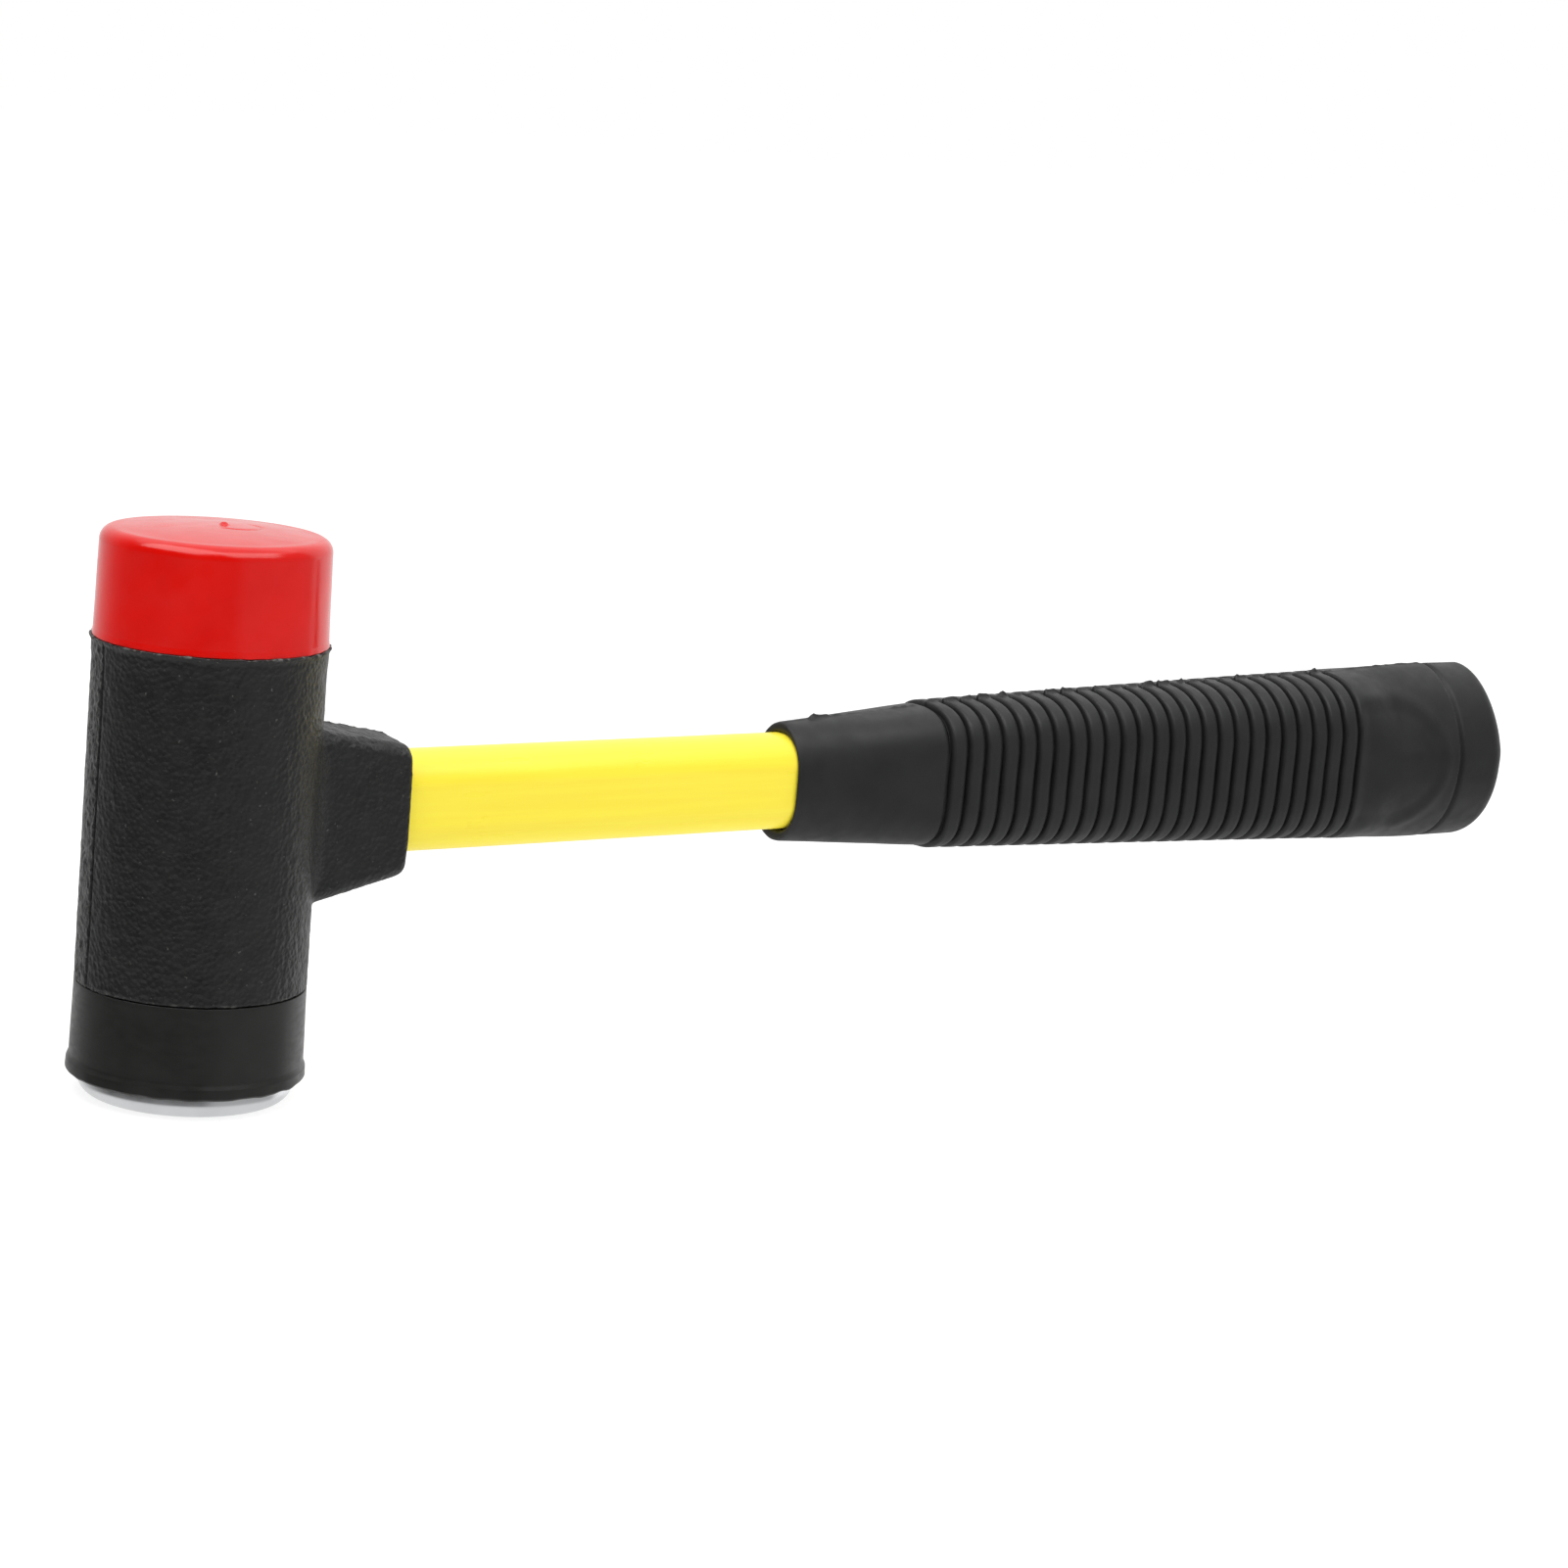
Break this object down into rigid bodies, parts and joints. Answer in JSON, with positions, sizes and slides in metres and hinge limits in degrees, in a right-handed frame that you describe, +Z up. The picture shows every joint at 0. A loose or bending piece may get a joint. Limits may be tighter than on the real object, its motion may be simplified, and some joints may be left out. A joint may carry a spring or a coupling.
{
  "type": "rubber mallet",
  "caption": "Two-faced soft mallet: rubber-jacketed steel head with a red soft cap at one end and a polished steel face at the other, oval yellow handle and ribbed black grip.",
  "frame": {"origin": "centre of the polished steel striking face", "axes": "+Z up the head's axis to the red soft cap, +X along the handle to the butt of the grip, +Y across the tool"},
  "size_m": [0.3286, 0.0412, 0.0999],
  "materials": {
    "chromed_steel": "polished",
    "red_pvc": "gloss",
    "jacket_rubber": "satin",
    "black_plastic": "satin",
    "yellow_fibreglass": "satin",
    "epoxy": "satin",
    "grip_rubber": "matte"
  },
  "bodies": {
    "mallet": {"steel_head": "chromed_steel", "head_jacket": "jacket_rubber", "face_collar": "black_plastic", "handle_shaft": "yellow_fibreglass", "eye_epoxy": "epoxy", "grip": "grip_rubber"},
    "soft_cap": {"red_cap": "red_pvc"}
  },
  "joints": [
    {"name": "cap_pull", "type": "slide", "parent": "mallet", "child": "soft_cap", "axis": [0, 0, 1], "range_m": [0, 0.022]}
  ]
}
